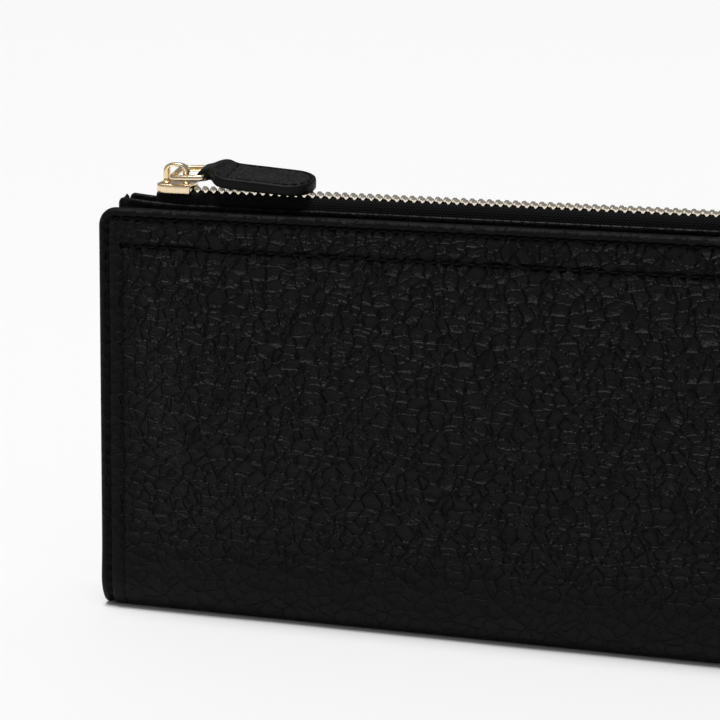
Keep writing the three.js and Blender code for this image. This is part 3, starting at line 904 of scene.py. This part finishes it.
def slider_body():
    places = np.array([0, 0.5, 1.3, 2.4, 4.6, 6.2, 7.4, 8.2])
    widths = np.array([3.3, 3.5, 3.65, 3.7, 3.7, 3.6, 3.45, 3.3])
    tips = np.array([0.16, 0.08, 0, 0, 0, 0, -0.02, -0.05])
    centres = np.array([(SLIDER_LEFT + p, POCKET_Y, PLATE_TOP + t) for p, t in zip(places, tips)])
    across = np.tile((0.0, 1.0, 0.0), (len(places), 1))
    above = np.tile((0.0, 0.0, 1.0), (len(places), 1))

    def channel(k):
        w, lip = widths[k], widths[k] - 0.48
        right = [(w - 0.3, 0), (w, -0.3), (w, -2.2), (lip, -2.2), (lip, -0.6)]
        return np.array(right + [(-a, b) for a, b in reversed(right)])

    def keel(k):
        w = widths[k] * 0.5
        return np.array([(w, -2.95), (w, -3.6), (-w, -3.6), (-w, -2.95)])

    body = run_along("slider_cast", centres, across, above, channel, False, gold)
    under = run_along("slider_keel", centres, across, above, keel, False, gold)
    post_line = np.array([(SLIDER_LEFT + 1.45, POCKET_Y, z) for z in (102.3, 104.8)])
    sides = np.tile((1.0, 0.0, 0.0), (2, 1))
    oval = soft_square(0.95, 0.45)
    post = run_along("slider_post", post_line, sides, across[:2], lambda k: oval, False, gold)
    body = join_pieces([ease_edges(body, 0.14), ease_edges(under, 0.2), post])
    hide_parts("slider_body")
    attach(body, "slider")


def slider_crown():
    """The arch: two broad legs that thin to a slim bow over the eye."""
    turn = np.linspace(math.pi, 0, 21)
    legs = np.array([(-2.5, -2.2), (-2.5, -1.0)])
    along = 2.5 * np.sign(np.cos(turn)) * np.abs(np.cos(turn)) ** 0.7
    bow = np.stack([along, 2.12 * np.sin(turn) ** 0.75], -1)
    line = np.concatenate([legs, bow, legs[::-1] * (-1, 1)])
    way = np.gradient(line, axis=0)
    way /= np.linalg.norm(way, axis=1)[:, None]
    centres = np.stack([CROWN_X + line[:, 0], 0 * line[:, 0] + POCKET_Y, EYE_Z + line[:, 1]], -1)
    outward = np.stack([-way[:, 1], 0 * way[:, 0], way[:, 0]], -1)
    sideways = np.tile((0.0, 1.0, 0.0), (len(line), 1))
    rise = np.clip(line[:, 1] / 2.1, 0, 1) ** 1.5
    half = 0.80 - 0.34 * rise

    def outline(k):
        return soft_square(half[k], 1.0, 3.2)

    crown = run_along("slider_arch", centres, outward, sideways, outline, False, gold)
    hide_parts("slider_crown")
    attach(crown, "slider")


slider_body()
slider_crown()


# ---------------------------------------------------------------------------------------------
# Puller ring. Round brass wire bent to a rectangle: one bar turns in the slider's arch and the
# strap is folded round the other.
# ---------------------------------------------------------------------------------------------
RING_LENGTH, RING_HALF, WIRE_RADIUS = 7.75, 4.0, 0.78
TILT = Matrix.Rotation(math.radians(10), 3, "X")
RING_TURN = Matrix.Rotation(math.radians(-2), 3, "Y") @ TILT
STRAP_TURN = Matrix.Rotation(math.radians(3), 3, "Y") @ TILT
RING_AT = np.array((CROWN_X, POCKET_Y, EYE_Z))
RING_RISE = math.radians(2)
STRAP_AT = RING_AT + np.array((RING_LENGTH * math.cos(RING_RISE), 0, RING_LENGTH * math.sin(RING_RISE)))


def puller_ring():
    bend = 1.1
    corners = [(bend, -RING_HALF + bend, 180), (RING_LENGTH - bend, -RING_HALF + bend, 270)]
    corners += [(RING_LENGTH - bend, RING_HALF - bend, 0), (bend, RING_HALF - bend, 90)]
    line = []
    for x, y, start in corners:
        line += corner_arc(x, y, bend, start, start + 90, 7)
    line = np.array([(x, y, 0) for x, y in line])
    way = np.roll(line, -1, 0) - np.roll(line, 1, 0)
    way /= np.linalg.norm(way, axis=1)[:, None]
    outward = np.cross(way, (0, 0, 1))
    turned = np.array(RING_TURN)
    centres = RING_AT + line @ turned.T
    above = np.tile((0.0, 0.0, 1.0), (len(line), 1)) @ turned.T
    round_wire = soft_square(WIRE_RADIUS, WIRE_RADIUS, 2.0, 20)
    made = run_along("puller_wire", centres, outward @ turned.T, above, lambda k: round_wire, True, gold)
    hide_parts("puller_ring")
    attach(made, "ring")


puller_ring()


# ---------------------------------------------------------------------------------------------
# Puller strap. Two thicknesses of the cover leather folded round the ring's bar, narrow at the fold
# and rounded at the end, with painted edges and a seam round it and across behind the fold.
# ---------------------------------------------------------------------------------------------
STRAP_END, STRAP_HALF, STRAP_NECK, FOLD_TIP = 26.9, 6.5, 2.95, -1.69
STRAP_SEAM = 1.15
strap_leather = pebbled_leather("strap_leather", (0.001, 0.001, 0.001), (0.0085, 0.0084, 0.0086), 1.6, 0.4)


def strap_width(a):
    widen = np.clip((a - 0.9) / 3.6, 0, 1)
    wide = STRAP_NECK + (STRAP_HALF - STRAP_NECK) * widen * widen * (3 - 2 * widen)
    past = np.clip((a - (STRAP_END - STRAP_HALF)) / STRAP_HALF, 0, 1)
    return wide * np.sqrt(1 - past**2.2)


def strap_lay(a, b, h):
    hump = 1.0 * np.exp(-(((a - 2.6) / 2.2) ** 2)) - 0.35 * np.clip((a - 7) / 18, 0, 1)
    spot = np.stack([a, b, h + hump], -1)
    return (STRAP_AT + spot @ np.array(STRAP_TURN).T) * MM


def strap_height(a, b):
    """How far each face stands from the strap's middle."""
    edge = np.minimum(strap_width(a) - np.abs(b), STRAP_END - a)
    roll = np.clip(edge / 0.75, 0, 1)
    fold = np.clip((a - FOLD_TIP) / 1.45, 0, 1)
    thick = 1.5 - 0.16 * np.clip((a - 3) / 3, 0, 1)
    body = thick * (0.42 + 0.58 * np.sqrt(1 - (1 - roll) ** 2)) * np.sqrt(1 - (1 - fold) ** 2)
    body = np.where((edge < 1e-6) | (a <= FOLD_TIP + 1e-6), 0, body)
    line = seam(edge - STRAP_SEAM, a, 0.22, 0.32) * np.clip((a - 3) / 1, 0, 1)
    return body + line + seam(a - 6.4, b, 0.26, 0.35) * (edge > 0.6) + 0.05 * drift(4 * a, 4 * b) * roll


def puller_strap():
    rows = even_steps(FOLD_TIP, (0.2, 0.13), (7.4, 0.22), (STRAP_END - 1.5, 0.34), (STRAP_END, 0.08))
    columns = np.sin(np.linspace(-1, 1, 49) * math.pi / 2)

    def face(sign):
        def laid(s, a):
            b = s * strap_width(a)
            height = sign * strap_height(a, b)
            grain = np.clip((strap_width(a) - np.abs(b) - 0.5) / 0.8, 0, 1) * 0.7
            return strap_lay(a, b, height), np.stack([b, a], -1), grain

        return laid

    strap = two_faced("puller_strap", columns, rows, face(1), face(-1), strap_leather)
    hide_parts("puller_leather")
    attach(strap, "puller")
    a = np.linspace(6.4, STRAP_END - STRAP_HALF, 60)
    side = np.stack([a, strap_width(a) - STRAP_SEAM], -1)
    round_end = corner_arc(STRAP_END - STRAP_HALF, 0, STRAP_HALF - STRAP_SEAM, 88, -88, 30)
    outline = [*map(tuple, side), *round_end, *map(tuple, side[::-1] * (1, -1))]
    cross = [(6.4, -STRAP_HALF + 1.6), (6.4, STRAP_HALF - 1.6)]
    rows_of_thread = [along(outline, 2.2), along(cross, 2.2)]
    made = [
        sew_on(f"strap_thread_{k}", strap_lay, *row, lambda a, b: strap_height(a, b) + 0.1)
        for k, row in enumerate(rows_of_thread)
    ]
    stitches = join_pieces(made)
    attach(stitches, "puller")


puller_strap()


# ---------------------------------------------------------------------------------------------
# Gussets and pocket floor. A thin leather gusset closes each end of the zip pocket, folded inward
# in a V with its peak between the strips; the floor is the same twill as the pocket walls.
# ---------------------------------------------------------------------------------------------
def gusset(node, end):
    low, high = (np.array(c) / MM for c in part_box(node))
    middle, half_width = (low[1] + high[1]) / 2, (high[1] - low[1]) / 2
    columns = np.linspace(-1, 1, 33)
    rows = even_steps(low[2], (high[2] - 4, 2.0), (high[2], 0.25))
    inner = high[0] if end < 0 else low[0]

    def face(sign):
        def laid(s, z):
            lift = 1 - np.abs(s)
            peak = high[2] - 2 + 1.3 * lift**0.7
            up = low[2] + (z - low[2]) * (peak - low[2]) / (high[2] - low[2])
            to_end = np.minimum(z - low[2], high[2] - z)
            border = np.minimum(np.minimum(1 - np.abs(s), 1) * half_width, to_end)
            half = 0.24 * np.sqrt(np.clip(border / 0.24, 0, 1))
            fold = 0.24 + 0.42 * np.cos(s * math.pi / 2) ** 0.8
            x = inner + end * (0.96 - fold) + sign * half
            y = middle + s * half_width
            return np.stack([x, y, up], -1) * MM, np.stack([y, up], -1), 0 * s + 0.3

        return laid

    made = two_faced(node + "_skin", columns, rows, face(1), face(-1), lining_leather)
    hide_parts(node)
    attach(made, "back")


gusset("gusset_left", -1)
gusset("gusset_right", 1)


level_panel("pocket_floor", "back", pocket_cloth)


# ---------------------------------------------------------------------------------------------
# Inside layers. Grey chipboard stiffeners and a thin foam, hidden between leather and lining.
# ---------------------------------------------------------------------------------------------
def pressed_finish(name, low, high, scale, depth, rough):
    finish = Finish(name, Specular_IOR_Level=0.2)
    spot = finish.node("ShaderNodeTexCoord", {}, {}, 3)
    fibres = finish.node("ShaderNodeTexNoise", {}, {"Vector": spot, "Scale": scale, "Detail": 5.0})
    finish.relief(fibres, depth * MM)
    finish.feed(Base_Color=finish.colours(fibres, low, high), Roughness=rough + fibres * 0.1)
    return finish.material


chipboard = pressed_finish("chipboard", (0.16, 0.15, 0.13), (0.30, 0.28, 0.25), 900.0, 0.05, 0.85)
foam_sheet = pressed_finish("foam_sheet", (0.02, 0.02, 0.022), (0.06, 0.06, 0.064), 2200.0, 0.1, 0.9)
for node in ("front_board", "back_board", "spine_stiffener"):
    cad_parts[node].data.materials.clear()
    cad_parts[node].data.materials.append(chipboard)
for node, body, lean in (("front_foam", "front", LEAN), ("back_foam", "back", 0.0)):
    panel_for(node, body, foam_sheet, "foam", lean=lean, puff=0.0)[0]


# ---------------------------------------------------------------------------------------------
# Stage: a white table and soft light from above, and the camera in front, a little to the right.
# ---------------------------------------------------------------------------------------------
TABLE_METRES = 40.0
SKY_STRENGTH = 0.26
LAMP_STRENGTH, LAMP_SPREAD = 2.53, math.radians(24)
LAMP_WAY = Vector((0.12, 0.10, -1.0))


def stage():
    bpy.ops.mesh.primitive_plane_add(size=TABLE_METRES)
    table = bpy.context.object
    table.name = "table"
    paint = Finish("table_paint", Roughness=0.7, Specular_IOR_Level=0.2)
    paint.surface.inputs["Base Color"].default_value = (0.95, 0.95, 0.95, 1)
    table.data.materials.append(paint.material)
    world = bpy.data.worlds.new("studio")
    bpy.context.scene.world = world
    world.use_nodes = True
    world.node_tree.nodes["Background"].inputs["Color"].default_value = (1, 1, 1, 1)
    world.node_tree.nodes["Background"].inputs["Strength"].default_value = SKY_STRENGTH
    bpy.ops.object.light_add(type="SUN", location=(0, 0, 1))
    lamp = bpy.context.object
    lamp.name = "overhead"
    lamp.data.energy = LAMP_STRENGTH
    lamp.data.angle = LAMP_SPREAD
    lamp.rotation_euler = LAMP_WAY.to_track_quat("-Z", "Y").to_euler()


stage()

AZIMUTH = math.radians(14.4)
ELEVATION = math.radians(13.27)
ROLL = math.radians(-0.5)
DISTANCE = 470.2
SENSOR, LENS = 36.0, 98.5
AIM = (-HALF_LENGTH + 63.6, 0.0, 65.2)
bpy.ops.object.camera_add()
camera = bpy.context.object
camera.name = "camera"
back = Vector(
    (
        math.sin(AZIMUTH) * math.cos(ELEVATION),
        -math.cos(AZIMUTH) * math.cos(ELEVATION),
        math.sin(ELEVATION),
    )
)
camera.location = (Vector(AIM) + back * DISTANCE) * MM
turn = back.to_track_quat("Z", "Y").to_matrix().to_4x4() @ Matrix.Rotation(-ROLL, 4, "Z")
camera.rotation_euler = turn.to_euler()
camera.data.sensor_width = SENSOR
camera.data.lens = LENS
bpy.context.scene.camera = camera
bpy.context.scene.view_settings.view_transform = "Standard"
